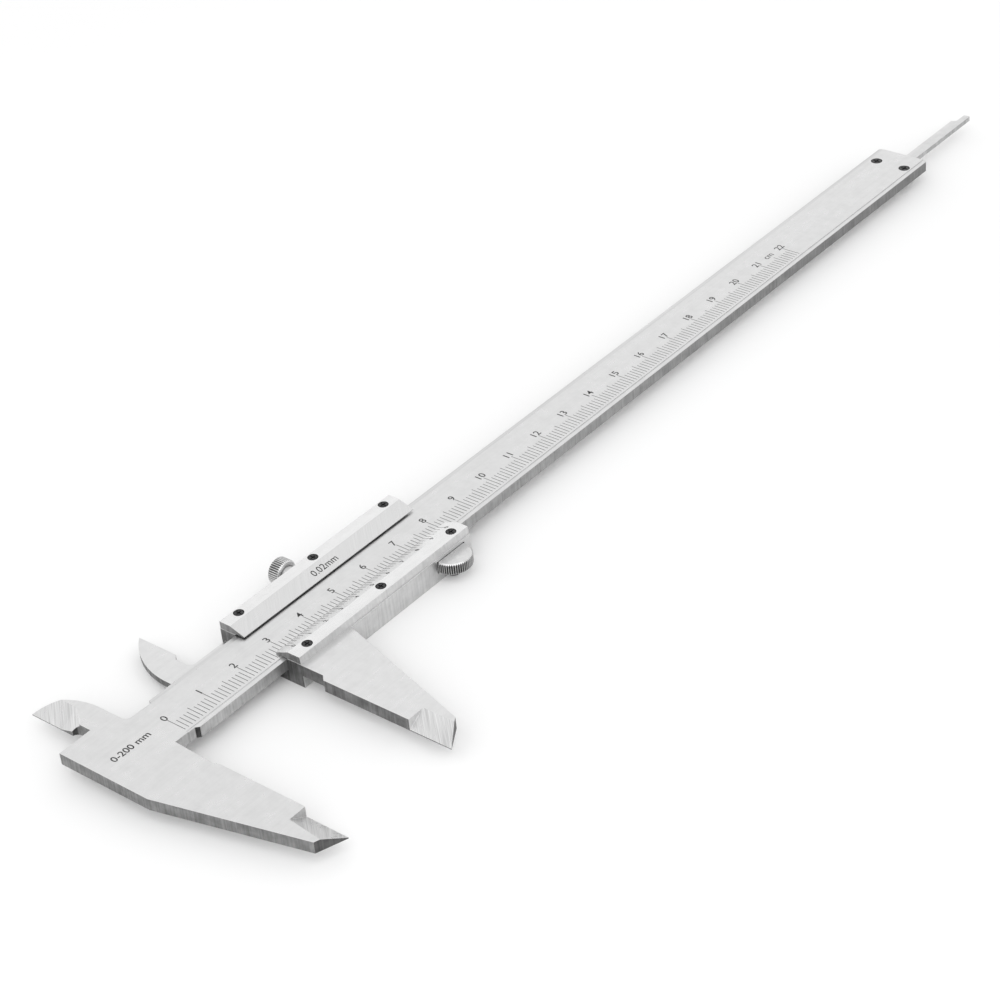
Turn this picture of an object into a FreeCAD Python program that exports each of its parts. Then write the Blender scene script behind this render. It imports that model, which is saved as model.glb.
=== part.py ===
import FreeCAD, Part
import math
import os
import Sketcher

# Vernier caliper for 0 to 200 mm, lying on its back, opened a little.
#
# Drawing frame, in which every outline below is given: x = 0 is the fixed outside measuring face,
# y = 0 the beam's lower edge, z = 0 the beam's front face; +X runs along the beam, +Y points away
# from the outside jaws and +Z points out of the scale side. Each sub-part's Placement then carries
# it to the part's own frame, whose origin is the middle of the fixed outside measuring face.

SIZES = {
    # beam and the fixed jaws that are one piece with it
    "beam_width": 14.5,
    "beam_depth": 2.8,
    "beam_end": 282.5,
    "corner_cut": 0.5,
    "strip_start": 3.5,
    "strip_width": 1.2,
    "strip_depth": 0.12,
    "root_relief_end": 5.4,
    "root_relief_rise": 0.75,
    "edge_relief_end": 6.0,
    "edge_relief_drop": 0.8,
    "body_left": -15.2,
    "body_top": 17.8,
    "body_shoulder": -6.7,
    # outside jaws: both have the same length and the same knife tip
    "face_top": -11.2,
    "face_middle": -22.45,
    "knife_top": -33.7,
    "knife_end": -44.3,
    "knife_heel": -41.8,
    "moving_heel": -41.0,
    "knife_bevel": 4.4,
    "fixed_tip_bevel": 5.5,
    "moving_tip_bevel": 4.4,
    "knife_land": 0.25,
    "fixed_tip_width": 6.6,
    "fixed_relief": 0.5,
    "moving_relief": 1.2,
    "moving_tip_width": 5.6,
    "moving_root_width": 16.4,
    # inside jaws: the measuring edges stand on one line when the caliper is closed
    "inner_edge": 7.9,
    "inner_tip": 34.2,
    "inner_root": 22.3,
    "inner_back": 0.7,
    "inner_back_top": 21.5,
    "inner_back_radius": 14.7,
    "inner_bevel": 4.6,
    "inner_bevel_start": 25.5,
    "notch_depth": 1.1,
    "notch_top": 21.0,
    "fillet": 1.5,
    # slider
    "opening": 30.3,
    "slack": 0.05,
    "slider_depth": 5.75,
    "slider_length": 54.1,
    "slider_low": -4.2,
    "slider_high": 18.75,
    "web_depth": 1.5,
    "web_left": 15.4,
    "web_low": 1.6,
    "web_high": 17.9,
    "web_recess": 9.0,
    "web_curve_low": 18.5,
    "web_curve_radius": 19.8,
    "web_bevel": 3.5,
    # the two screwed plates
    "plate_start": 1.3,
    "plate_length": 54.0,
    "plate_top": 1.8,
    "lip_top": 0.4,
    "vernier_inner": 2.95,
    "vernier_ridge": -0.5,
    "vernier_outer": -3.7,
    "vernier_foot": -3.95,
    "cover_inner": 11.9,
    "cover_ridge": 15.7,
    "cover_lift": 0.3,
    # screws
    "first_screw": 5.72,
    "screw_pitch": 23.08,
    "vernier_screw_y": -1.87,
    "cover_screw_y": 17.4,
    "plate_screw_radius": 0.6,
    "plate_head_radius": 1.16,
    "plate_head_depth": 0.7,
    "plate_screw_length": 4.0,
    "short_screw_length": 2.3,
    "head_clearance": 0.04,
    "head_round": 0.35,
    # end stop behind the beam's free end
    "stop_start": 270.0,
    "stop_length": 11.0,
    "stop_low": 1.2,
    "stop_high": 13.3,
    "stop_depth": 1.2,
    "stop_screw_x": 275.9,
    "stop_screw_low": 3.0,
    "stop_screw_high": 11.4,
    "stop_screw_radius": 1.0,
    "stop_head_radius": 1.45,
    "stop_head_depth": 0.85,
    # depth bar and its groove
    "bar_middle": 6.2,
    "bar_width": 3.0,
    "bar_front": -1.4,
    "bar_depth": 1.3,
    "bar_start": 3.1,
    "bar_foot": 9.0,
    "bar_tip_width": 1.7,
    "bar_tip_length": 4.6,
    "bar_tip_radius": 1.2,
    "groove_clearance": 0.1,
    "groove_start": 2.3,
    "rivet_first": 5.5,
    "rivet_pitch": 4.5,
    "rivet_radius": 0.7,
    "rivet_head_radius": 1.2,
    "rivet_head_depth": 0.5,
    "rivet_top": -1.9,
    # lock screw and gib
    "lock_x": 24.3,
    "lock_z": -1.4,
    "lock_radius": 1.25,
    "lock_clearance": 0.05,
    "lock_neck_radius": 1.9,
    "lock_neck_gap": 0.3,
    "lock_neck_end": 21.3,
    "lock_head_radius": 3.1,
    "lock_head_end": 24.3,
    "gib_start": 9.7,
    "gib_length": 38.2,
    "gib_thickness": 0.5,
    "gib_gap": 0.15,
    "gib_end_gap": 0.3,
    "gib_pocket_high": 15.9,
    # thumb roller
    "roller_x": 48.6,
    "roller_y": -4.55,
    "roller_radius": 4.5,
    "roller_top": -0.8,
    "roller_width": 2.8,
    "roller_gap": 0.1,
    "roller_bore": 0.53,
    "axle_radius": 0.5,
    "lug_radius": 1.6,
    "edge_bevel": 0.35,
}

KNURLS_ROLLER = 56
KNURLS_LOCK = 38
KNURL_DEPTH = 0.26
KNURL_SHARE = 0.38      # a knurl groove's half width, as a share of the distance to the next groove
BEYOND = 1.0            # how far a cutter reaches past the face it cuts through
PLATE_SCREWS = 3

# The direction of each origin plane's normal along its own axis.
NORMAL = {"XY_Plane": 1, "XZ_Plane": -1, "YZ_Plane": 1}

doc = FreeCAD.newDocument("vernier_caliper")
sheet = doc.addObject("Spreadsheet::Sheet", "Sizes")


class Size:
    """A length in millimetres together with the spreadsheet expression it comes from."""

    def __init__(self, value, text):
        self.value = float(value)
        self.text = text

    def __add__(self, other):
        other = as_size(other)
        return Size(self.value + other.value, f"({self.text} + {other.text})")

    def __sub__(self, other):
        other = as_size(other)
        return Size(self.value - other.value, f"({self.text} - {other.text})")

    def __mul__(self, factor):
        return Size(self.value * factor, f"({self.text} * {factor})")

    def __truediv__(self, divisor):
        return Size(self.value / divisor, f"({self.text} / {divisor})")

    def __neg__(self):
        return Size(-self.value, f"(-{self.text})")


def as_size(number):
    return number if isinstance(number, Size) else Size(number, str(float(number)))


class Sheet:
    """Gives each spreadsheet cell by its alias, as in size.beam_width."""

    def __init__(self, sizes):
        for row, (name, value) in enumerate(sizes.items(), start=1):
            sheet.set(f"A{row}", name)
            sheet.set(f"B{row}", str(value))
            sheet.setAlias(f"B{row}", name)
            setattr(self, name, Size(value, f"Sizes.{name}"))


size = Sheet(SIZES)
doc.recompute()
NODES = []


# ---------------------------------------------------------------- helpers

def bind(thing, prop, length):
    """Set a property from the spreadsheet."""
    thing.setExpression(prop, as_size(length).text)


def place(thing, x=0.0, y=0.0, z=0.0):
    """Put a sub-part drawn about its own zero at (x, y, z) of the drawing frame."""
    bind(thing, "Placement.Base.x", as_size(x))
    bind(thing, "Placement.Base.y", as_size(y) - size.face_middle)
    bind(thing, "Placement.Base.z", as_size(z) + size.beam_depth / 2)


def register(thing, name):
    thing.Label = name
    NODES.append(thing)
    return thing


def new_body(name):
    return register(doc.addObject("PartDesign::Body", name), name)


def origin_plane(body, role):
    return next(item for item in body.Origin.OriginFeatures if item.Role == role)


def new_sketch(body, name, plane="XY_Plane", level=0.0):
    """A sketch parallel to an origin plane; level is the coordinate along that plane's axis."""
    sketch = body.newObject("Sketcher::SketchObject", name)
    sketch.AttachmentSupport = [(origin_plane(body, plane), "")]
    sketch.MapMode = "FlatFace"
    bind(sketch, "AttachmentOffset.Base.z", as_size(level) * NORMAL[plane])
    return sketch


def fix_point(sketch, edge, end, x, y):
    """Dimension one end of an edge from the sketch's origin."""
    for kind, length in (("DistanceX", as_size(x)), ("DistanceY", as_size(y))):
        index = sketch.addConstraint(Sketcher.Constraint(kind, -1, 1, edge, end, length.value))
        sketch.setExpression(f"Constraints[{index}]", length.text)


def arc_through(start, finish, radius):
    """The short arc from start to finish; a negative radius turns clockwise."""
    chord = finish - start
    sagitta = abs(radius) - math.sqrt(radius ** 2 - (chord.Length / 2) ** 2)
    outward = FreeCAD.Vector(chord.y, -chord.x, 0).normalize() * math.copysign(sagitta, radius)
    middle = (start + finish) / 2 + outward
    return Part.Arc(start, middle, finish) if radius > 0 else Part.Arc(finish, middle, start)


def outline(body, name, corners, plane="XY_Plane", level=0.0):
    """A closed outline. A corner is (x, y), or (x, y, radius) when an arc leaves it."""
    sketch = new_sketch(body, name, plane, level)
    corners = [tuple(as_size(number) for number in corner) for corner in corners]
    points = [FreeCAD.Vector(corner[0].value, corner[1].value, 0) for corner in corners]
    ends = []
    for index, corner in enumerate(corners):
        start = points[index]
        finish = points[(index + 1) % len(points)]
        if len(corner) == 2:
            sketch.addGeometry(Part.LineSegment(start, finish))
            ends.append((1, 2))
        else:
            sketch.addGeometry(arc_through(start, finish, corner[2].value))
            ends.append((1, 2) if corner[2].value > 0 else (2, 1))
    for index, corner in enumerate(corners):
        after = (index + 1) % len(corners)
        joint = Sketcher.Constraint("Coincident", index, ends[index][1], after, ends[after][0])
        sketch.addConstraint(joint)
        fix_point(sketch, index, ends[index][0], corner[0], corner[1])
        if len(corner) == 3:
            radius = corner[2] if corner[2].value > 0 else -corner[2]
            number = sketch.addConstraint(Sketcher.Constraint("Radius", index, radius.value))
            sketch.setExpression(f"Constraints[{number}]", radius.text)
    return sketch


def rectangle(body, name, x_low, x_high, y_low, y_high, plane="XY_Plane", level=0.0):
    corners = [(x_low, y_low), (x_high, y_low), (x_high, y_high), (x_low, y_high)]
    return outline(body, name, corners, plane, level)


def circles(body, name, centres, radius, plane="XY_Plane", level=0.0):
    """Equal circles, one for each centre."""
    sketch = new_sketch(body, name, plane, level)
    radius = as_size(radius)
    for edge, (x, y) in enumerate(centres):
        middle = FreeCAD.Vector(as_size(x).value, as_size(y).value, 0)
        sketch.addGeometry(Part.Circle(middle, FreeCAD.Vector(0, 0, 1), radius.value))
        fix_point(sketch, edge, 3, x, y)
        index = sketch.addConstraint(Sketcher.Constraint("Radius", edge, radius.value))
        sketch.setExpression(f"Constraints[{index}]", radius.text)
    return sketch


def plane_normal(sketch):
    return NORMAL[sketch.AttachmentSupport[0][0].Role]


def pad(body, sketch, length, towards=1):
    """Add material from the sketch, towards + or - along its plane's axis."""
    feature = body.newObject("PartDesign::Pad", sketch.Name + "_pad")
    feature.Profile = sketch
    bind(feature, "Length", length)
    feature.Reversed = towards * plane_normal(sketch) < 0
    doc.recompute()
    return feature


def pocket(body, sketch, length, towards=-1):
    """Cut from the sketch, towards + or - along its plane's axis, and prove that it cut."""
    before = body.Shape.Volume
    feature = body.newObject("PartDesign::Pocket", sketch.Name + "_pocket")
    feature.Profile = sketch
    bind(feature, "Length", length)
    feature.Reversed = towards * plane_normal(sketch) > 0
    doc.recompute()
    if not body.Shape.Volume < before:
        raise RuntimeError(f"{feature.Name} cuts nothing")
    return feature


def soften_rims(body, radius, levels, kind, prop, amount):
    """Chamfer or fillet the circular edges of one radius at the given heights."""
    base = body.Tip
    names = []
    for number, edge in enumerate(base.Shape.Edges, start=1):
        round_edge = isinstance(edge.Curve, Part.Circle) and abs(edge.Curve.Radius - radius) < 1e-6
        if round_edge and any(abs(edge.Curve.Center.z - level) < 1e-6 for level in levels):
            names.append(f"Edge{number}")
    feature = body.newObject(f"PartDesign::{kind}", "soft_rims")
    feature.Base = (base, names)
    bind(feature, prop, amount)
    body.Tip = feature
    doc.recompute()


def bevel_rims(body, radius, levels):
    soften_rims(body, radius, levels, "Chamfer", "Size", size.edge_bevel)


def knurl(body, radius, low, high, count):
    """Cut one V groove along the rim and repeat it round the local z axis."""
    rim = as_size(radius)
    half_width = KNURL_SHARE * math.tau * rim.value / count
    corners = [
        (rim - KNURL_DEPTH, 0),
        (rim + KNURL_DEPTH, -half_width * 2),
        (rim + KNURL_DEPTH, half_width * 2),
    ]
    groove = pocket(body, outline(body, "knurl", corners, level=high), high - low)
    pattern = body.newObject("PartDesign::PolarPattern", "knurl_pattern")
    pattern.Originals = [groove]
    pattern.Axis = (origin_plane(body, "Z_Axis"), [""])
    pattern.Angle = 360
    pattern.Occurrences = count
    body.Tip = pattern
    doc.recompute()


def screw_places(first, pitch, count, y):
    return [(first + pitch * number, y) for number in range(count)]


# Places that several sub-parts share.
moving_face = size.opening
slider_left = moving_face + size.moving_relief
slider_right = slider_left + size.slider_length
wall_front = -(size.beam_depth + size.slack)
roller_centre = (moving_face + size.roller_x, size.roller_y)
first_screw_x = moving_face + size.first_screw
vernier_screws = screw_places(first_screw_x, size.screw_pitch, PLATE_SCREWS, size.vernier_screw_y)
cover_screws = screw_places(first_screw_x, size.screw_pitch, PLATE_SCREWS, size.cover_screw_y)
stop_screws = [(size.stop_screw_x, y) for y in (size.stop_screw_low, size.stop_screw_high)]
first_rivet_x = moving_face + size.rivet_first
rivets = screw_places(first_rivet_x, size.rivet_pitch, 2, size.bar_middle)
bar_low = size.bar_middle - size.bar_width / 2
bar_high = size.bar_middle + size.bar_width / 2


# ---------------------------------------------------------------- beam side

def knife_wedge(body, name, edge_x, bevel_x, back, front, level):
    """Outline of the wedge that is ground off a jaw, from its front face down to the edge."""
    outside = edge_x + BEYOND if edge_x.value > bevel_x.value else edge_x - BEYOND
    above = front + BEYOND
    corners = [(edge_x, back), (outside, back), (outside, above), (bevel_x, above), (bevel_x, front)]
    return outline(body, name, corners, "XZ_Plane", level)


def cut_between(body, name, first, last):
    """Cuts away the straight-sided solid between two outlines."""
    cut = body.newObject("PartDesign::SubtractiveLoft", name)
    cut.Profile = first
    cut.Sections = [last]
    cut.Ruled = True
    doc.recompute()


def knife_tip(body, edge_x, side, tip_bevel, back, front):
    """Grinds an outside jaw's tip to a knife edge, on a bevel that widens to tip_bevel at the very end."""
    top_x = edge_x + size.knife_bevel * side
    past_tip = tip_bevel + (tip_bevel - size.knife_bevel) * 0.1
    first = knife_wedge(body, "knife_top", edge_x, top_x, back, front, size.knife_top)
    end_x = edge_x + past_tip * side
    last = knife_wedge(body, "knife_end", edge_x, end_x, back, front, size.knife_end - BEYOND)
    cut_between(body, "knife_tip", first, last)


def make_main_beam():
    """Beam with the fixed outside jaw below it and the fixed inside jaw above it."""
    body = new_body("main_beam")
    width = size.beam_width
    cut = size.corner_cut
    relief_y = width - size.edge_relief_drop
    back_x = -size.inner_back
    notch_x = -(size.inner_edge - size.notch_depth)
    blank = outline(body, "beam_outline", [
        (size.root_relief_end + size.root_relief_rise, 0),
        (size.beam_end - cut, 0),
        (size.beam_end, cut),
        (size.beam_end, width - cut),
        (size.beam_end - cut, width),
        (size.edge_relief_end + size.edge_relief_drop / 2, width),
        (size.edge_relief_end, relief_y),
        (back_x + size.fillet, relief_y, -size.fillet),
        (back_x, relief_y + size.fillet),
        (back_x, size.inner_back_top, size.inner_back_radius),
        (-size.inner_edge, size.inner_tip),
        (-size.inner_edge, size.inner_root, -size.fillet),
        (notch_x, size.notch_top),
        (notch_x, size.body_top),
        (size.body_left, size.body_top),
        (size.body_left, size.body_shoulder),
        (-size.fixed_tip_width, size.knife_heel),
        (0, size.knife_end),
        (0, size.face_top),
        (-size.fixed_relief, size.face_top + size.moving_relief),
        (0, size.root_relief_rise),
        (size.root_relief_end, size.root_relief_rise),
    ])
    pad(body, blank, size.beam_depth, towards=-1)

    # knife tip of the outside jaw, and the ground edge of the inside jaw
    edge_z = size.knife_land - size.beam_depth
    zero = as_size(0)
    knife_tip(body, zero, -1, size.fixed_tip_bevel, edge_z, zero)
    inner_x = -size.inner_edge
    start = size.inner_bevel_start
    wide_x = inner_x + size.inner_bevel
    wedge = knife_wedge(body, "inner_edge", inner_x, wide_x, edge_z, zero, start)
    pocket(body, wedge, size.inner_tip - start + BEYOND, towards=1)
    narrow_x = inner_x + size.notch_depth * 1.5
    wide = knife_wedge(body, "runout_wide", inner_x, wide_x, edge_z, zero, start)
    narrow = knife_wedge(body, "runout_narrow", inner_x, narrow_x, edge_z / 2, zero, size.notch_top)
    cut_between(body, "inner_edge_runout", wide, narrow)

    # shallow ground strips along both long edges of the front face
    strip_high = width - size.strip_width
    edges = [("strip_low", -BEYOND, size.strip_width), ("strip_high", strip_high, width + BEYOND)]
    for name, low, high in edges:
        strip = rectangle(body, name, size.strip_start, size.beam_end + BEYOND, low, high, level=BEYOND)
        pocket(body, strip, size.strip_depth + BEYOND)

    # groove for the depth bar, open at the back and at the free end
    gap = size.groove_clearance
    groove = rectangle(body, "bar_groove", size.groove_start, size.beam_end + BEYOND,
                       bar_low - gap, bar_high + gap, level=size.bar_front + size.slack)
    pocket(body, groove, size.beam_depth)

    # clearance holes and counterbores for the end stop's screws
    bores = circles(body, "stop_bores", stop_screws, size.stop_screw_radius + size.head_clearance)
    pocket(body, bores, size.beam_depth + BEYOND)
    seats = circles(body, "stop_seats", stop_screws, size.stop_head_radius + size.head_clearance)
    pocket(body, seats, size.stop_head_depth + size.head_clearance)
    place(body)


def make_end_stop():
    """Small plate behind the free end that stops the slider and covers the groove."""
    body = new_body("end_stop_plate")
    cut = size.corner_cut * 2
    left = size.stop_start
    right = size.stop_start + size.stop_length
    blank = outline(body, "stop_outline", [
        (left, size.stop_low), (right - cut, size.stop_low), (right, size.stop_low + cut),
        (right, size.stop_high - cut), (right - cut, size.stop_high), (left, size.stop_high),
    ], level=-size.beam_depth)
    pad(body, blank, size.stop_depth, towards=-1)
    bores = circles(body, "stop_threads", stop_screws, size.stop_screw_radius, level=-size.beam_depth)
    pocket(body, bores, size.stop_depth + BEYOND)
    place(body)


def make_screw(name, at, top, head_radius, head_depth, radius, length):
    """Round-edged screw with a cross recess; its head's top is at the height given."""
    body = new_body(name)
    centre = [(0, 0)]
    pad(body, circles(body, "head", centre, head_radius), head_depth, towards=-1)
    soften_rims(body, head_radius.value, [0.0], "Fillet", "Radius", size.head_round)
    pad(body, circles(body, "shank", centre, radius), length, towards=-1)
    reach = head_radius * 0.62
    slot = head_radius * 0.14
    recess = [
        (slot, slot), (reach, slot), (reach, -slot), (slot, -slot), (slot, -reach), (-slot, -reach),
        (-slot, -slot), (-reach, -slot), (-reach, slot), (-slot, slot), (-slot, reach), (slot, reach),
    ]
    pocket(body, outline(body, "recess", recess[::-1]), head_depth * 0.6)
    place(body, at[0], at[1], top)


def make_end_stop_screws():
    for number, at in enumerate(stop_screws, start=1):
        make_screw(f"end_stop_screw_{number}", at, -size.head_clearance, size.stop_head_radius,
                   size.stop_head_depth, size.stop_screw_radius,
                   size.beam_depth + size.stop_depth - size.head_clearance)


# ---------------------------------------------------------------- slider side

def make_slider_body():
    """Channel round the beam, in one piece with the moving outside and inside jaws."""
    body = new_body("slider_body")
    front = size.slack
    rail_height = front - wall_front
    wall = rectangle(body, "back_wall", slider_left, slider_right, size.slider_low, size.slider_high,
                     level=-size.slider_depth)
    pad(body, wall, wall_front + size.slider_depth)
    low_rail = rectangle(body, "low_rail", slider_left, slider_right, size.slider_low, -size.slack,
                         level=wall_front)
    pad(body, low_rail, rail_height)
    high_rail = rectangle(body, "high_rail", slider_left, slider_right, size.beam_width + size.slack,
                          size.slider_high, level=wall_front)
    pad(body, high_rail, rail_height)

    jaw = outline(body, "outside_jaw", [
        (slider_left, -size.slack),
        (slider_left, size.face_top + size.moving_relief),
        (moving_face, size.face_top),
        (moving_face, size.knife_end),
        (moving_face + size.moving_tip_width, size.moving_heel),
        (moving_face + size.moving_root_width, size.slider_low),
        (moving_face + size.moving_root_width, -size.slack),
    ], level=-size.beam_depth)
    pad(body, jaw, size.beam_depth + front)
    edge_z = size.knife_land - size.beam_depth
    knife_tip(body, moving_face, 1, size.moving_tip_bevel, edge_z, front)

    # web behind the beam that carries the inside jaw
    web_x = moving_face - size.web_left
    recess_x = moving_face - size.web_recess
    edge_x = moving_face - size.inner_edge
    web = outline(body, "inside_jaw", [
        (web_x, size.web_low),
        (slider_left + BEYOND, size.web_low),
        (slider_left + BEYOND, size.web_high),
        (recess_x + size.fillet, size.web_high, -size.fillet),
        (recess_x, size.web_high + size.fillet),
        (recess_x, size.inner_root),
        (edge_x, size.inner_root + size.notch_depth),
        (edge_x, size.inner_tip, size.web_curve_radius),
        (web_x, size.web_curve_low),
    ], level=wall_front)
    pad(body, web, size.web_depth, towards=-1)
    web_back = wall_front - size.web_depth
    land = wall_front - size.knife_land
    bevel = outline(body, "inside_bevel", [
        (edge_x, land), (edge_x - size.web_bevel, web_back), (edge_x - size.web_bevel, web_back - BEYOND),
        (edge_x + BEYOND, web_back - BEYOND), (edge_x + BEYOND, land),
    ], "XZ_Plane", size.inner_root + size.notch_depth)
    pocket(body, bevel, size.inner_tip - size.inner_root, towards=1)

    # pocket for the gib in the high rail, and the lock screw's hole through it
    gib_left = moving_face + size.gib_start - size.gib_end_gap
    gib_right = moving_face + size.gib_start + size.gib_length + size.gib_end_gap
    gib_room = rectangle(body, "gib_room", gib_left, gib_right, size.beam_width, size.gib_pocket_high,
                         level=front)
    pocket(body, gib_room, rail_height)
    lock_at = [(moving_face + size.lock_x, size.lock_z)]
    lock_bore = circles(body, "lock_bore", lock_at, size.lock_radius + size.lock_clearance, "XZ_Plane",
                        size.gib_pocket_high - BEYOND / 2)
    pocket(body, lock_bore, size.slider_high - size.gib_pocket_high + BEYOND, towards=1)

    # round slot for the thumb roller, the lug below it, and the axle's hole
    gap = size.roller_gap
    slot_top = size.roller_top + gap
    slot_low = size.roller_top - size.roller_width - gap
    slot = circles(body, "roller_slot", [roller_centre], size.roller_radius + gap, level=slot_top)
    pocket(body, slot, slot_top - slot_low)
    lug = circles(body, "lug", [roller_centre], size.lug_radius, level=-size.slider_depth)
    pad(body, lug, slot_low + size.slider_depth)
    axle_bore = circles(body, "axle_bore", [roller_centre], size.axle_radius, level=slot_low)
    pocket(body, axle_bore, size.slider_depth)

    # threads for the plates' screws (the last vernier screw is short, as it ends above the roller),
    # and the rivets' holes and seats in the back wall
    above = size.plate_top - size.head_clearance - front
    threads = circles(body, "threads", vernier_screws[:-1] + cover_screws, size.plate_screw_radius,
                      level=front)
    pocket(body, threads, size.plate_screw_length - above)
    thread = circles(body, "short_thread", vernier_screws[-1:], size.plate_screw_radius, level=front)
    pocket(body, thread, size.short_screw_length - above)
    rivet_bores = circles(body, "rivet_bores", rivets, size.rivet_radius, level=wall_front)
    pocket(body, rivet_bores, size.slider_depth)
    rivet_seats = circles(body, "rivet_seats", rivets, size.rivet_head_radius,
                          level=size.rivet_head_depth - size.slider_depth)
    pocket(body, rivet_seats, size.slider_depth)
    place(body)


def finish_plate(body, places):
    """Drill a plate for its screws, with a counterbore for each head."""
    bores = circles(body, "bores", places, size.plate_screw_radius + size.head_clearance,
                    level=size.plate_top)
    pocket(body, bores, size.plate_top)
    seats = circles(body, "seats", places, size.plate_head_radius + size.head_clearance,
                    level=size.plate_top)
    pocket(body, seats, size.plate_head_depth + size.head_clearance)
    place(body)


def make_vernier_plate():
    """Plate along the lower rail; its long bevel carries the vernier scale."""
    body = new_body("vernier_plate")
    low = size.slack
    section = outline(body, "plate_section", [
        (size.vernier_foot, low), (size.vernier_inner, low), (size.vernier_inner, size.lip_top),
        (size.vernier_ridge, size.plate_top), (size.vernier_outer, size.plate_top),
    ], "YZ_Plane", moving_face + size.plate_start)
    pad(body, section, size.plate_length)
    finish_plate(body, vernier_screws)


def make_upper_plate():
    """Cover plate along the upper rail; its lip hangs over the beam with a gap below it."""
    body = new_body("upper_plate")
    low = size.slack
    lip_low = low + size.cover_lift
    section = outline(body, "plate_section", [
        (size.beam_width, low), (size.slider_high, low), (size.slider_high, size.plate_top),
        (size.cover_ridge, size.plate_top), (size.cover_inner, lip_low + size.lip_top / 2),
        (size.cover_inner, lip_low), (size.beam_width, lip_low),
    ], "YZ_Plane", moving_face + size.plate_start)
    pad(body, section, size.plate_length)
    finish_plate(body, cover_screws)


def make_plate_screws():
    for kind, places in (("vernier", vernier_screws), ("upper", cover_screws)):
        for number, at in enumerate(places, start=1):
            over_roller = at == vernier_screws[-1]
            length = size.short_screw_length if over_roller else size.plate_screw_length
            make_screw(f"{kind}_plate_screw_{number}", at, size.plate_top - size.head_clearance,
                       size.plate_head_radius, size.plate_head_depth, size.plate_screw_radius, length)


def make_depth_bar():
    """Flat bar in the beam's groove, riveted to the slider's back wall, with a stepped tip."""
    body = new_body("depth_bar")
    left = moving_face + size.bar_start
    tip = size.beam_end + moving_face
    shoulder = tip - size.bar_tip_length
    tip_high = bar_low + size.bar_tip_width
    bar = outline(body, "bar_outline", [
        (left, bar_low), (tip, bar_low), (tip, tip_high),
        (shoulder + size.bar_tip_radius, tip_high, -size.bar_tip_radius),
        (shoulder, tip_high + size.bar_tip_radius), (shoulder, bar_high), (left, bar_high),
    ], level=size.bar_front)
    pad(body, bar, size.bar_depth, towards=-1)
    bar_back = size.bar_front - size.bar_depth
    foot = rectangle(body, "bar_foot", left, left + size.bar_foot, bar_low, bar_high, level=bar_back)
    pad(body, foot, bar_back - wall_front, towards=-1)
    bores = circles(body, "rivet_bores", rivets, size.rivet_radius, level=size.rivet_top)
    pocket(body, bores, size.beam_depth)
    place(body)


def cylinder(name, radius, height):
    thing = doc.addObject("Part::Cylinder", name)
    bind(thing, "Radius", radius)
    bind(thing, "Height", height)
    return thing


def make_rivets():
    """Flush rivets that hold the depth bar to the back wall."""
    for number, at in enumerate(rivets, start=1):
        shank = cylinder(f"rivet_shank_{number}", size.rivet_radius, size.rivet_top + size.slider_depth)
        head = cylinder(f"rivet_head_{number}", size.rivet_head_radius, size.rivet_head_depth)
        rivet = doc.addObject("Part::Fuse", f"rivet_{number}")
        rivet.Base = shank
        rivet.Tool = head
        register(rivet, f"depth_bar_rivet_{number}")
        place(rivet, at[0], at[1], -size.slider_depth)


def make_roller_axle():
    """Pin pressed in the lug below the roller."""
    axle = register(cylinder("axle", size.axle_radius, size.roller_top + size.slider_depth), "roller_axle")
    place(axle, roller_centre[0], roller_centre[1], -size.slider_depth)


# ---------------------------------------------------------------- pieces that move on the slider

def make_gib_strip():
    """Brass strip between the lock screw's tip and the beam's upper edge."""
    strip = register(doc.addObject("Part::Box", "gib"), "gib_strip")
    bind(strip, "Length", size.gib_length)
    bind(strip, "Width", size.gib_thickness)
    bind(strip, "Height", size.beam_depth - size.groove_clearance * 2)
    place(strip, moving_face + size.gib_start, size.beam_width + size.gib_gap,
          size.groove_clearance - size.beam_depth)


def make_lock_screw():
    """Knurled screw in the upper rail; drawn about its own axis, head upwards, then laid along +Y."""
    body = new_body("lock_screw")
    tip_y = size.beam_width + size.gib_gap + size.gib_thickness
    neck = size.slider_high + size.lock_neck_gap - tip_y
    head = size.lock_neck_end - tip_y
    end = size.lock_head_end - tip_y
    centre = [(0, 0)]
    pad(body, circles(body, "shank", centre, size.lock_radius), neck)
    pad(body, circles(body, "neck", centre, size.lock_neck_radius, level=neck), head - neck)
    pad(body, circles(body, "head", centre, size.lock_head_radius, level=head), end - head)
    bevel_rims(body, size.lock_head_radius.value, (head.value, end.value))
    knurl(body, size.lock_head_radius, head, end, KNURLS_LOCK)
    body.Placement.Rotation = FreeCAD.Rotation(FreeCAD.Vector(1, 0, 0), -90)
    place(body, moving_face + size.lock_x, tip_y, size.lock_z)


def make_thumb_roller():
    """Knurled wheel in the lower rail that rolls along the beam's lower edge."""
    body = new_body("thumb_roller")
    bottom = as_size(0)
    disc = circles(body, "disc", [(0, 0)], size.roller_radius)
    pad(body, disc, size.roller_width)
    bevel_rims(body, size.roller_radius.value, (0.0, size.roller_width.value))
    knurl(body, size.roller_radius, bottom, size.roller_width, KNURLS_ROLLER)
    bore = circles(body, "bore", [(0, 0)], size.roller_bore, level=size.roller_width)
    pocket(body, bore, size.roller_width)
    place(body, roller_centre[0], roller_centre[1], size.roller_top - size.roller_width)


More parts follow.
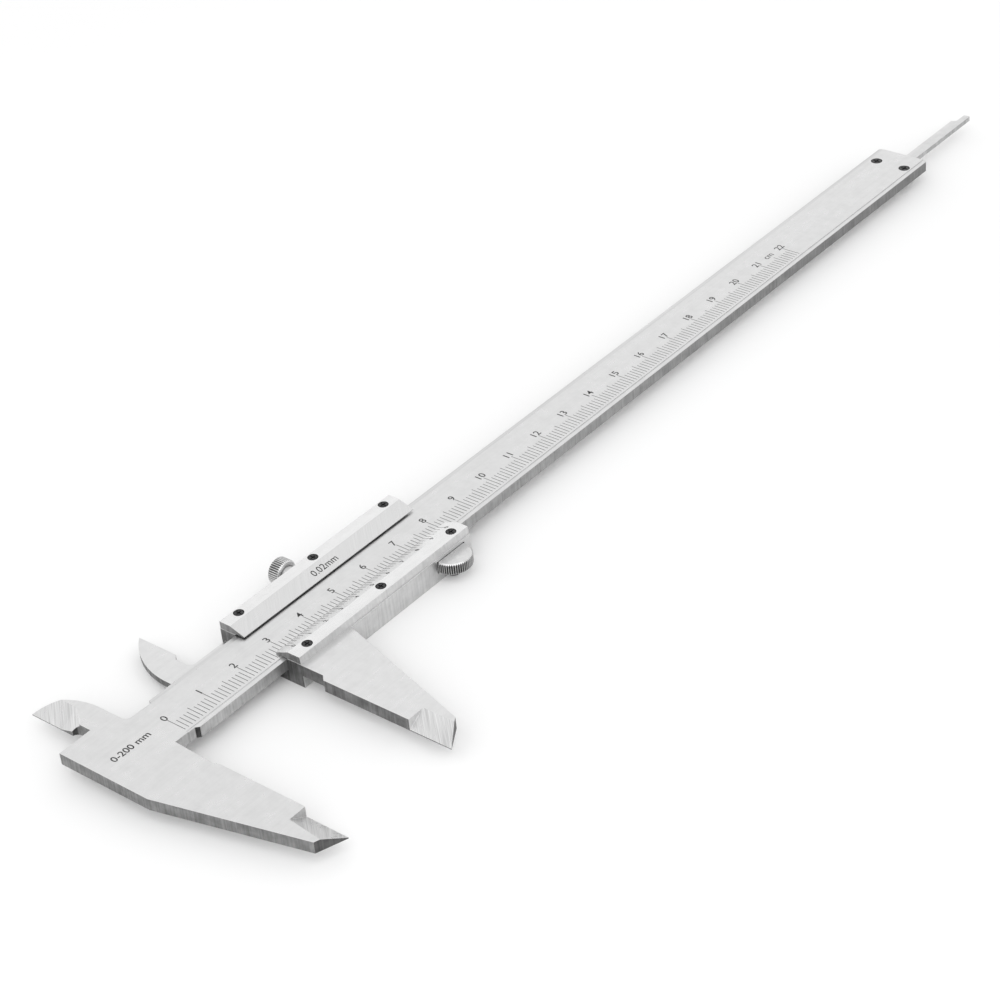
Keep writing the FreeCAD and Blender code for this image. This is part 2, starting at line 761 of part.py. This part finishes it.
def check_and_write():
    """Refuse a failed object, then write one STEP file for each sub-part."""
    doc.recompute()
    for item in doc.Objects:
        if "Invalid" in item.State or "Error" in item.State:
            raise RuntimeError(f"{item.Label} failed: {item.State}")
    os.makedirs("parts", exist_ok=True)
    for node in NODES:
        shape = node.Shape
        if shape.isNull() or not shape.isValid() or len(shape.Solids) != 1:
            raise RuntimeError(f"{node.Label} is not one valid solid")
    for node in NODES:
        node.Shape.exportStep(f"parts/{node.Label}.step")
        box = node.Shape.BoundBox
        print(f"{node.Label:24s} {box.XLength:8.2f} {box.YLength:8.2f} {box.ZLength:8.2f}"
              f"  volume {node.Shape.Volume:9.2f}")


make_main_beam()
make_end_stop()
make_end_stop_screws()
make_slider_body()
make_vernier_plate()
make_upper_plate()
make_plate_screws()
make_depth_bar()
make_rivets()
make_roller_axle()
make_gib_strip()
make_lock_screw()
make_thumb_roller()
check_and_write()
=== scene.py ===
import math

import bmesh
import bpy
from mathutils import Matrix, Vector


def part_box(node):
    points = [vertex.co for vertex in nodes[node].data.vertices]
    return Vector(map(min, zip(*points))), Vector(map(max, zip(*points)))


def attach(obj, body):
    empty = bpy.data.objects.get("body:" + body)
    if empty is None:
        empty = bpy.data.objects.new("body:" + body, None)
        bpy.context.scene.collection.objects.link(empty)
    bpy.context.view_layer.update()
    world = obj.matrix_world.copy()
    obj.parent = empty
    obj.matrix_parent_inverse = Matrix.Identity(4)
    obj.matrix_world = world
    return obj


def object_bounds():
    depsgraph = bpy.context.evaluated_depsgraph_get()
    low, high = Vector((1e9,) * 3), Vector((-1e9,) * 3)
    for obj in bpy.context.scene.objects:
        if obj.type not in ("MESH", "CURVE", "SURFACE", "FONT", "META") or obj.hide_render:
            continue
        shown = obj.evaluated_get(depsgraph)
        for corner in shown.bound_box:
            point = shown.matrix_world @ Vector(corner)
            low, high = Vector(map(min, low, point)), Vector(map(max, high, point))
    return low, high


# A 200 mm vernier caliper lying on a pale floor: its finishes, its engraved scales and the studio round it.
# The model's frame is in metres. Sizes here are in millimetres, times MM.

MM = 0.001

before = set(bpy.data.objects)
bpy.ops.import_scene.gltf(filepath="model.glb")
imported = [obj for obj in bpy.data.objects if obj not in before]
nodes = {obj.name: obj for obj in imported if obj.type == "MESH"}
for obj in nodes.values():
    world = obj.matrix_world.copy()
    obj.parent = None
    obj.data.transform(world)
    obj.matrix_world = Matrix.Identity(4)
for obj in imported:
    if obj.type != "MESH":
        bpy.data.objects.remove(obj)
cad_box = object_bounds()


# ---------------------------------------------------------------- the camera

SENSOR = 36.0  # mm wide
LENS = 91.47  # mm
EYE = Vector((-243.16, -285.94, 315.89)) * MM
LOOK = Vector((0.6146, 0.5507, -0.5648))
RIGHT = Vector((0.6218, -0.7788, -0.0827))


def place_camera():
    """The camera, looking along the caliper from its fixed jaw."""
    lens = bpy.data.cameras.new("camera")
    lens.sensor_width = SENSOR
    lens.lens = LENS
    lens.clip_start = 0.01
    camera = bpy.data.objects.new("camera", lens)
    bpy.context.scene.collection.objects.link(camera)
    back = -LOOK.normalized()
    right = (RIGHT - back * RIGHT.dot(back)).normalized()
    up = back.cross(right)
    turned = Matrix((right, up, back)).transposed().to_4x4()
    camera.matrix_world = Matrix.Translation(EYE) @ turned
    bpy.context.scene.camera = camera


# ---------------------------------------------------------------- where things are on the caliper

BEAM_EDGE = 22.45 * MM  # y of the beam's lower edge
STRIP_START = 3.5 * MM  # x of the ground strip's end
STRIP_EDGE = 13.3 * MM  # the strip's lower edge over the beam's
STRIP_BLUR = 0.2 * MM  # how wide the strip's border is
FAR = 240.0 * MM  # x towards the beam's free end
STROKE_TURN = math.radians(-42.0)  # of the grinding strokes on a bevel, from straight across the beam


# ---------------------------------------------------------------- node materials


class Finish:
    """One material, and short ways to add nodes to it. Coordinates are the object's own, in metres."""

    def __init__(self, name):
        self.material = bpy.data.materials.new(name)
        self.material.use_nodes = True
        self.tree = self.material.node_tree
        self.tree.nodes.clear()
        self.output = self.node("ShaderNodeOutputMaterial")
        self.shader = self.node("ShaderNodeBsdfPrincipled")
        self.tree.links.new(self.shader.outputs["BSDF"], self.output.inputs["Surface"])
        where = self.node("ShaderNodeTexCoord")
        self.place = where.outputs["Object"]
        self.facing = where.outputs["Normal"]

    def node(self, kind, **settings):
        """A new node, with its settings."""
        made = self.tree.nodes.new(kind)
        for key, value in settings.items():
            setattr(made, key, value)
        return made

    def feed(self, socket, value):
        """Links a socket, or sets a number or colour."""
        if isinstance(value, bpy.types.NodeSocket):
            self.tree.links.new(value, socket)
        else:
            socket.default_value = value

    def math(self, operation, first, second=0.0):
        """The result of one operation on two numbers."""
        made = self.node("ShaderNodeMath", operation=operation)
        self.feed(made.inputs[0], first)
        self.feed(made.inputs[1], second)
        return made.outputs[0]

    def span(self, value, low, high, to_low=0.0, to_high=1.0):
        """value mapped from low..high to to_low..to_high, and held there."""
        made = self.node("ShaderNodeMapRange", clamp=True)
        for socket, number in zip(made.inputs, (value, low, high, to_low, to_high)):
            self.feed(socket, number)
        return made.outputs[0]

    def blend(self, share, first, second):
        """A number between first and second."""
        made = self.node("ShaderNodeMix", data_type="FLOAT")
        self.feed(made.inputs[0], share)
        self.feed(made.inputs[2], first)
        self.feed(made.inputs[3], second)
        return made.outputs[0]

    def tint(self, share, first, second):
        """A colour between first and second."""
        made = self.node("ShaderNodeMix", data_type="RGBA")
        self.feed(made.inputs[0], share)
        self.feed(made.inputs[6], grey(first))
        self.feed(made.inputs[7], grey(second))
        return made.outputs[2]

    def grain(self, per_metre, turn=0.0, detail=3.0, centre=(0.0, 0.0, 0.0)):
        """Noise with that many grains a metre along X, Y and Z, turned about Z."""
        moved = self.node("ShaderNodeMapping", vector_type="TEXTURE")
        self.feed(moved.inputs["Vector"], self.place)
        moved.inputs["Location"].default_value = centre
        moved.inputs["Rotation"].default_value = (0.0, 0.0, turn)
        moved.inputs["Scale"].default_value = [1.0 / count for count in per_metre]
        noise = self.node("ShaderNodeTexNoise", noise_dimensions="3D")
        self.feed(noise.inputs["Vector"], moved.outputs["Vector"])
        noise.inputs["Scale"].default_value = 1.0
        noise.inputs["Detail"].default_value = detail
        noise.inputs["Roughness"].default_value = 0.6
        return self.span(noise.outputs[0], 0.3, 0.7)

    def parts(self, vector):
        """The X, Y and Z of a vector, by name."""
        split = self.node("ShaderNodeSeparateXYZ")
        self.feed(split.inputs[0], vector)
        return split.outputs

    def faces(self, axis):
        """How far the surface faces along an axis, from 0 to 1."""
        return self.math("ABSOLUTE", self.parts(self.facing)[axis])

    def worn_edge(self, radius):
        """(the rounded normal, how near the surface is to a sharp edge) for edges of that radius. The
        second is a mask for painted edge highlights, partly edge wear.
        """
        rounded = self.node("ShaderNodeBevel", samples=6)
        rounded.inputs["Radius"].default_value = radius
        flat = self.node("ShaderNodeNewGeometry")
        both = self.node("ShaderNodeVectorMath", operation="DOT_PRODUCT")
        self.feed(both.inputs[0], rounded.outputs["Normal"])
        self.feed(both.inputs[1], flat.outputs["Normal"])
        return rounded.outputs["Normal"], self.span(both.outputs["Value"], 0.995, 0.85)

    def crevice(self, reach):
        """How deep in a groove the surface is, from 0 to 1, looking that far round it: a mask for painted
        shade in grooves.
        """
        around = self.node("ShaderNodeAmbientOcclusion", samples=8, only_local=True)
        around.inputs["Distance"].default_value = reach
        return self.span(around.outputs["AO"], 0.95, 0.45)

    def relief(self, height, depth, normal=None):
        """Bump of that depth in metres on top of normal."""
        bump = self.node("ShaderNodeBump")
        bump.inputs["Strength"].default_value = 1.0
        bump.inputs["Distance"].default_value = depth
        self.feed(bump.inputs["Height"], height)
        if normal is not None:
            self.feed(bump.inputs["Normal"], normal)
        self.feed(self.shader.inputs["Normal"], bump.outputs["Normal"])

    def finish(self, colour, roughness, metallic=1.0):
        """Sets the shader, and gives the material."""
        self.feed(self.shader.inputs["Base Color"], colour)
        self.feed(self.shader.inputs["Roughness"], roughness)
        self.shader.inputs["Metallic"].default_value = metallic
        return self.material


def grey(value):
    """A grey level as a colour. Sockets and colours stay as they are."""
    if isinstance(value, (int, float)):
        return (value, value, value, 1.0)
    return value


def brushed_steel(name, face, bevel, side_shade, lapped_and_shaded, polish, depth, strip=None, far_side_shade=None):
    """Steel brushed along X on its faces, ground across its bevels, and ground along Z on its sides.

    face, bevel, side_shade and lapped_and_shaded are (dark, light) grey levels. side_shade is darker than
    the
    faces: painted shade for the dim floor that the sides reflect. lapped_and_shaded is for the sides that
    face along X, as the measuring faces do, painted darker still as shade, and the slanted sides between
    are painted darkest as shade. polish is the faces' roughness, and depth the bump's in metres. strip is
    the (x, y) beyond which the face is ground a second time, a little duller, and far_side_shade is the
    painted shade that the sides fade to at FAR along X."""
    steel = Finish(name)
    place = steel.parts(steel.place)
    facing_x = steel.faces("X")
    facing_z = steel.faces("Z")
    on_side = steel.span(facing_z, 0.6, 0.3)
    on_bevel = steel.math("SUBTRACT", steel.span(facing_z, 0.998, 0.98), on_side)

    # brushing along the beam, strokes across a bevel, grinding through a side, and blotches on each
    along = steel.grain((20.0, 1500.0, 1500.0), detail=2.0)
    broad = steel.grain((12.0, 420.0, 420.0), detail=2.0)
    cloud = steel.grain((420.0, 420.0, 420.0), detail=3.0)
    across = steel.grain((3800.0, 110.0, 110.0), turn=STROKE_TURN, detail=1.0)
    through = steel.grain((1700.0, 1700.0, 100.0), detail=2.0)
    patches = steel.grain((330.0, 330.0, 500.0), detail=4.0)
    faces = steel.blend(0.5, steel.blend(0.5, along, broad), cloud)
    sides = steel.blend(0.5, through, patches)

    shade = steel.tint(faces, *face)
    if strip is not None:
        past_x = steel.span(place["X"], strip[0], strip[0] + STRIP_BLUR)
        past_y = steel.span(place["Y"], strip[1], strip[1] + STRIP_BLUR)
        duller = steel.tint(along, face[0] * 0.9, face[1] * 0.93)
        shade = steel.tint(steel.math("MULTIPLY", past_x, past_y), shade, duller)
    shade = steel.tint(on_bevel, shade, steel.tint(across, *bevel))

    # painted shade: the sides get darker greys than the faces, standing in for the dim floor they reflect
    edges = steel.tint(sides, *side_shade)
    # painted shade: the sides grow darker towards the beam's free end
    if far_side_shade is not None:
        edges = steel.tint(steel.span(place["X"], 0.0, FAR), edges, steel.tint(sides, *far_side_shade))
    # painted shade: the sides that face along X are darker still, and the slanted sides between darkest
    edges = steel.tint(steel.span(facing_x, 0.6, 0.95), edges, steel.tint(sides, *lapped_and_shaded))
    slanted = steel.math("MULTIPLY", steel.span(facing_x, 0.25, 0.36), steel.span(facing_x, 0.94, 0.85))
    darkest_shade = steel.tint(sides, lapped_and_shaded[0] * 0.3, lapped_and_shaded[1] * 0.4)
    edges = steel.tint(slanted, edges, darkest_shade)
    shade = steel.tint(on_side, shade, edges)

    normal, worn = steel.worn_edge(0.12 * MM)
    # painted highlight, partly edge wear: the surface near sharp edges is lightened
    shade = steel.tint(steel.math("MULTIPLY", worn, 0.5), shade, 0.9)
    height = steel.blend(on_side, steel.blend(on_bevel, along, across), through)
    steel.relief(height, depth, normal)
    rough_face = steel.span(faces, 0.0, 1.0, polish + 0.06, polish - 0.06)
    rough_side = steel.span(through, 0.0, 1.0, 0.5, 0.36)
    return steel.finish(shade, steel.blend(on_side, rough_face, rough_side))


def turned_chrome(name, centre, axis, face, rim_shade, groove_shade_grey, polish):
    """Chrome turned on a lathe: fine rings round the axis through centre, and a knurled rim painted darker
    as shade.

    face and rim_shade are (dark, light) grey levels, rim_shade darker than the metal's own tone as painted
    shade, and groove_shade_grey is the painted shade deep in the knurl."""
    chrome = Finish(name)
    moved = chrome.node("ShaderNodeMapping", vector_type="TEXTURE")
    chrome.feed(moved.inputs["Vector"], chrome.place)
    moved.inputs["Location"].default_value = centre
    rings = chrome.node("ShaderNodeTexWave", wave_type="RINGS", rings_direction=axis)
    chrome.feed(rings.inputs["Vector"], moved.outputs["Vector"])
    rings.inputs["Scale"].default_value = 900.0
    rings.inputs["Distortion"].default_value = 2.5
    rings.inputs["Detail"].default_value = 2.0
    rings.inputs["Detail Scale"].default_value = 3.0
    marks = chrome.grain((700.0, 700.0, 700.0), detail=4.0)
    lines = chrome.blend(0.6, rings.outputs["Fac"], marks)
    on_rim = chrome.span(chrome.faces(axis), 0.5, 0.2)
    normal, worn = chrome.worn_edge(0.08 * MM)
    # painted shade: the rim round the axis gets darker greys than the face
    shade = chrome.tint(on_rim, chrome.tint(lines, *face), chrome.tint(marks, *rim_shade))
    # painted highlight, partly edge wear: the surface near sharp edges is lightened
    shade = chrome.tint(chrome.math("MULTIPLY", worn, 0.6), shade, 0.95)
    # painted shade: the knurl's grooves are darkened where little light reaches
    shade = chrome.tint(chrome.math("MULTIPLY", chrome.crevice(0.5 * MM), 0.85), shade, groove_shade_grey)
    chrome.relief(lines, 0.0015 * MM, normal)
    rough = chrome.span(marks, 0.0, 1.0, polish + 0.05, polish - 0.05)
    return chrome.finish(shade, rough)


def black_oxide(name):
    """Blackened steel screws: glossy, a little uneven, lighter grey at the edges: partly rubbed wear,
    partly painted highlight.
    """
    black = Finish(name)
    marks = black.grain((900.0, 900.0, 900.0), detail=4.0)
    normal, worn = black.worn_edge(0.06 * MM)
    shade = black.tint(marks, (0.006, 0.006, 0.007, 1.0), (0.02, 0.02, 0.022, 1.0))
    # painted highlight, partly rubbed wear: the edges are lightened to grey
    shade = black.tint(black.math("MULTIPLY", worn, 0.4), shade, 0.12)
    black.relief(marks, 0.002 * MM, normal)
    rough = black.span(marks, 0.0, 1.0, 0.16, 0.08)
    return black.finish(shade, rough, metallic=0.0)


def gib_brass(name):
    """Bare brass strip, dulled in patches."""
    brass = Finish(name)
    dull = brass.grain((400.0, 900.0, 900.0), detail=4.0)
    shade = brass.tint(dull, (0.42, 0.27, 0.09, 1.0), (0.72, 0.52, 0.22, 1.0))
    brass.relief(dull, 0.004 * MM)
    return brass.finish(shade, brass.span(dull, 0.0, 1.0, 0.42, 0.28))


def engraving_ink(name, dark, light):
    """Filled engraving: dull, a little worn."""
    ink = Finish(name)
    wear = ink.grain((1800.0, 1800.0, 1800.0), detail=3.0)
    shade = ink.tint(wear, dark, light)
    ink.relief(wear, 0.003 * MM)
    return ink.finish(shade, ink.span(wear, 0.0, 1.0, 0.7, 0.5), metallic=0.0)


def middle_of(node):
    """The middle of a CAD node's box."""
    low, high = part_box(node)
    return (low + high) / 2


def finish_nodes():
    """Gives every CAD node its finish: its own, or the one of its material slot."""
    # painted shade: in each steel finish below, the side greys, the greys of the sides facing along X and
    # the far-side fade are darker than the metal's own tone
    by_slot = {
        "satin_steel": brushed_steel(
            "slider_steel",
            face=(0.74, 0.84),
            bevel=(0.6, 0.86),
            side_shade=(0.5, 0.7),
            lapped_and_shaded=(0.08, 0.28),
            polish=0.3,
            depth=0.003 * MM,
        ),
        "satin_chrome": brushed_steel(
            "satin_chrome",
            face=(0.84, 0.92),
            bevel=(0.78, 0.82),
            side_shade=(0.56, 0.7),
            lapped_and_shaded=(0.2, 0.4),
            polish=0.24,
            depth=0.002 * MM,
        ),
        "ground_steel": brushed_steel(
            "ground_steel",
            face=(0.66, 0.82),
            bevel=(0.5, 0.85),
            side_shade=(0.3, 0.6),
            lapped_and_shaded=(0.3, 0.6),
            polish=0.34,
            depth=0.004 * MM,
        ),
        "black_oxide": black_oxide("black_oxide"),
        "gib_brass": gib_brass("gib_brass"),
    }
    own = {
        "main_beam": brushed_steel(
            "beam_steel",
            face=(0.72, 0.82),
            bevel=(0.62, 0.86),
            side_shade=(0.34, 0.6),
            lapped_and_shaded=(0.13, 0.36),
            polish=0.3,
            depth=0.003 * MM,
            strip=(STRIP_START, BEAM_EDGE + STRIP_EDGE),
            far_side_shade=(0.16, 0.28),
        ),
        # painted shade: the rim and groove greys of the chromed parts below are darker than the metal's own
        # tone
        "thumb_roller": turned_chrome(
            "roller_chrome",
            middle_of("thumb_roller"),
            "Z",
            face=(0.7, 0.84),
            rim_shade=(0.2, 0.5),
            groove_shade_grey=0.015,
            polish=0.24,
        ),
        "lock_screw": turned_chrome(
            "lock_screw_chrome",
            middle_of("lock_screw"),
            "Y",
            face=(0.7, 0.88),
            rim_shade=(0.5, 0.8),
            groove_shade_grey=0.12,
            polish=0.3,
        ),
    }
    for name, node in nodes.items():
        for slot in node.material_slots:
            slot.material = own.get(name) or by_slot[slot.material.name]


# ---------------------------------------------------------------- engraved marks

PROUD = 0.012 * MM  # how far the filled engraving stands out of the surface
SUNK = 0.03 * MM  # how far it reaches into the surface
LINE = 0.13 * MM  # a scale line's width
DIGIT_SHARE = 0.729  # a digit's height, as a share of the font's size


def surface(origin, up):
    """The matrix of a flat place for marks. They read along +X, with Y along up and Z out of it."""
    right = Vector((1.0, 0.0, 0.0))
    up = up.normalized()
    out = right.cross(up)
    return Matrix.Translation(origin) @ Matrix((right, up, out)).transposed().to_4x4()


def add_line(marks, where, x, low, high, width=LINE):
    """A scale line across the reading direction, from low to high."""
    middle = Vector((x, (low + high) / 2, (PROUD - SUNK) / 2))
    size = Vector((width, high - low, PROUD + SUNK))
    placed = where @ Matrix.Translation(middle) @ Matrix.Diagonal(size).to_4x4()
    bmesh.ops.create_cube(marks, size=1.0, matrix=placed)


def add_text(marks, where, words, x, y, height, weight=0.0):
    """Words centred on x, y of a surface, with digits that high."""
    letters = bpy.data.curves.new("letters", "FONT")
    letters.body = words
    letters.size = height / DIGIT_SHARE
    letters.align_x = "CENTER"
    letters.align_y = "CENTER"
    letters.resolution_u = 3
    letters.extrude = (PROUD + SUNK) / 2
    letters.offset = weight
    holder = bpy.data.objects.new("letters", letters)
    bpy.context.scene.collection.objects.link(holder)
    bpy.context.view_layer.update()
    built = holder.evaluated_get(bpy.context.evaluated_depsgraph_get())
    solid = bpy.data.meshes.new_from_object(built)
    solid.transform(where @ Matrix.Translation((x, y, (PROUD - SUNK) / 2)))
    marks.from_mesh(solid)
    bpy.data.objects.remove(holder)
    bpy.data.curves.remove(letters)
    bpy.data.meshes.remove(solid)


def keep_marks(name, marks, body, material):
    """Makes a piece of the marks, which rides on a body."""
    mesh = bpy.data.meshes.new(name)
    marks.to_mesh(mesh)
    marks.free()
    mesh.materials.append(material)
    piece = bpy.data.objects.new(name, mesh)
    bpy.context.scene.collection.objects.link(piece)
    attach(piece, body)


SCALE_ZERO = 3.9 * MM  # x of the main scale's zero line
OPENING = 30.3 * MM  # how far open the jaws are
SCALE_LENGTH = 200  # mm that the scale reads
SCALE_END = 220  # mm of the scale's last line
UNIT_AT = 215  # mm on the scale, where its unit stands
NUMBER_HEIGHT = 1.9 * MM
RANGE_HEIGHT = 1.8 * MM

# y over the beam's lower edge
SCALE_FOOT = 1.8 * MM
LINE_TOPS = {10: 6.8 * MM, 5: 6.15 * MM, 1: 5.35 * MM}  # of every tenth, every fifth and every other line
NUMBER_MIDDLE = 7.7 * MM
RANGE_PLACE = (-6.0 * MM, 7.1 * MM)  # x, y


def mark_beam():
    """The main scale, its unit before the last number, and the range on the fixed jaw."""
    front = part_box("main_beam")[1].z
    where = surface(Vector((0.0, BEAM_EDGE, front)), Vector((0.0, 1.0, 0.0)))
    lines = bmesh.new()
    for count in range(SCALE_END + 1):
        step = 10 if count % 10 == 0 else 5 if count % 5 == 0 else 1
        add_line(lines, where, SCALE_ZERO + count * MM, SCALE_FOOT, LINE_TOPS[step])
    keep_marks("main_scale_lines", lines, "beam", engraving_ink("scale_line_ink", 0.05, 0.1))
    words = bmesh.new()
    for tens in range(SCALE_END // 10 + 1):
        middle = SCALE_ZERO + tens * 10 * MM
        add_text(words, where, str(tens), middle, NUMBER_MIDDLE, NUMBER_HEIGHT, weight=0.02 * MM)
    add_text(words, where, "cm", SCALE_ZERO + UNIT_AT * MM, NUMBER_MIDDLE, NUMBER_HEIGHT)
    keep_marks("main_scale_numbers", words, "beam", engraving_ink("number_ink", 0.02, 0.06))
    reach = bmesh.new()
    add_text(reach, where, f"0-{SCALE_LENGTH} mm", *RANGE_PLACE, RANGE_HEIGHT, weight=0.03 * MM)
    keep_marks("range_mark", reach, "beam", engraving_ink("range_ink", 0.015, 0.05))


VERNIER_PARTS = 50
VERNIER_LENGTH = 49.0 * MM
VERNIER_LIP = 0.4 * MM  # height of the bevel's low edge over the beam
VERNIER_SLOPE = 3.45 * MM  # the bevel's width along Y
VERNIER_TICKS = {5: 2.3 * MM, 1: 1.8 * MM}  # lengths of every fifth and of the other lines
VERNIER_LINE = 0.1 * MM  # their width
VERNIER_START = 0.05 * MM  # how far the ticks start from the bevel's low edge
VERNIER_NUMBERS = 2.95 * MM  # how far up the bevel their middle is
VERNIER_HEIGHT = 1.15 * MM  # of its numbers
COVER_LIP = 0.55 * MM  # the same for the cover plate
COVER_SLOPE = 3.8 * MM
READING_PLACE = (58.7 * MM, 1.95 * MM)  # x, and how far up the cover plate's bevel
READING_HEIGHT = 1.75 * MM


def mark_slider():
    """The vernier scale on its plate's bevel, and its reading on the upper plate's."""
    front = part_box("main_beam")[1].z
    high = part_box("vernier_plate")[1]
    inner = Vector((0.0, high.y, front + VERNIER_LIP))
    ridge = Vector((0.0, high.y - VERNIER_SLOPE, high.z))
    where = surface(inner, inner - ridge)
    marks = bmesh.new()
    zero = SCALE_ZERO + OPENING
    for count in range(VERNIER_PARTS + 1):
        x = zero + count * VERNIER_LENGTH / VERNIER_PARTS
        length = VERNIER_TICKS[5 if count % 5 == 0 else 1]
        add_line(marks, where, x, -length, -VERNIER_START, width=VERNIER_LINE)
        if count % 5 == 0:
            digit = str(count // 5 % 10)
            add_text(marks, where, digit, x, -VERNIER_NUMBERS, VERNIER_HEIGHT, weight=0.03 * MM)
    keep_marks("vernier_marks", marks, "slider", engraving_ink("vernier_ink", 0.04, 0.08))
    low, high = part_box("upper_plate")
    inner = Vector((0.0, low.y, front + COVER_LIP))
    ridge = Vector((0.0, low.y + COVER_SLOPE, high.z))
    where = surface(inner, ridge - inner)
    words = bmesh.new()
    add_text(words, where, "0.02mm", *READING_PLACE, READING_HEIGHT, weight=0.01 * MM)
    keep_marks("resolution_mark", words, "slider", engraving_ink("resolution_ink", 0.02, 0.05))


# ---------------------------------------------------------------- the studio

FLOOR_REACH = 3.0  # metres to each side
FLOOR_GAP = 0.02 * MM  # under the caliper
HORIZON = 1.06  # the tent's brightness at its foot
ZENITH = 0.86  # and overhead
KEY_PLACE = (-0.5, -0.6, 1.1)
KEY_TARGET = (0.1, 0.0, 0.0)
KEY_SIZE = 2.4  # metres
KEY_POWER = 8.0  # watts


def make_floor():
    """A plain pale floor just under the caliper."""
    mesh = bpy.data.meshes.new("floor")
    level = cad_box[0][2] - FLOOR_GAP
    corners = [(x * FLOOR_REACH, y * FLOOR_REACH, level) for x, y in ((-1, -1), (1, -1), (1, 1), (-1, 1))]
    mesh.from_pydata(corners, [], [(0, 1, 2, 3)])
    plain = Finish("pale_floor")
    cloud = plain.grain((4.0, 4.0, 4.0), detail=2.0)
    mesh.materials.append(plain.finish(plain.tint(cloud, 0.94, 0.96), 0.9, metallic=0.0))
    floor = bpy.data.objects.new("floor", mesh)
    bpy.context.scene.collection.objects.link(floor)


def soft_light(name, position, target, size, power):
    """A square soft light at position that points at target."""
    data = bpy.data.lights.new(name, "AREA")
    data.shape = "SQUARE"
    data.size = size
    data.energy = power
    light = bpy.data.objects.new(name, data)
    light.location = position
    aim = Vector(target) - Vector(position)
    light.rotation_euler = aim.to_track_quat("-Z", "Y").to_euler()
    bpy.context.scene.collection.objects.link(light)


def light_studio():
    """A white tent, and a soft light over the fixed jaw."""
    world = bpy.data.worlds.new("tent")
    bpy.context.scene.world = world
    world.use_nodes = True
    tree = world.node_tree
    tree.nodes.clear()
    output = tree.nodes.new("ShaderNodeOutputWorld")
    background = tree.nodes.new("ShaderNodeBackground")
    where = tree.nodes.new("ShaderNodeTexCoord")
    parts = tree.nodes.new("ShaderNodeSeparateXYZ")
    height = tree.nodes.new("ShaderNodeMapRange")
    height.inputs["From Min"].default_value = 0.0
    height.inputs["From Max"].default_value = 1.0
    height.inputs["To Min"].default_value = HORIZON
    height.inputs["To Max"].default_value = ZENITH
    tree.links.new(where.outputs["Generated"], parts.inputs[0])
    tree.links.new(parts.outputs["Z"], height.inputs[0])
    tree.links.new(height.outputs[0], background.inputs["Strength"])
    background.inputs["Color"].default_value = (1.0, 1.0, 1.0, 1.0)
    tree.links.new(background.outputs[0], output.inputs["Surface"])
    soft_light("key", KEY_PLACE, KEY_TARGET, KEY_SIZE, KEY_POWER)


place_camera()
finish_nodes()
mark_beam()
mark_slider()
make_floor()
light_studio()
bpy.context.scene.view_settings.view_transform = "Standard"
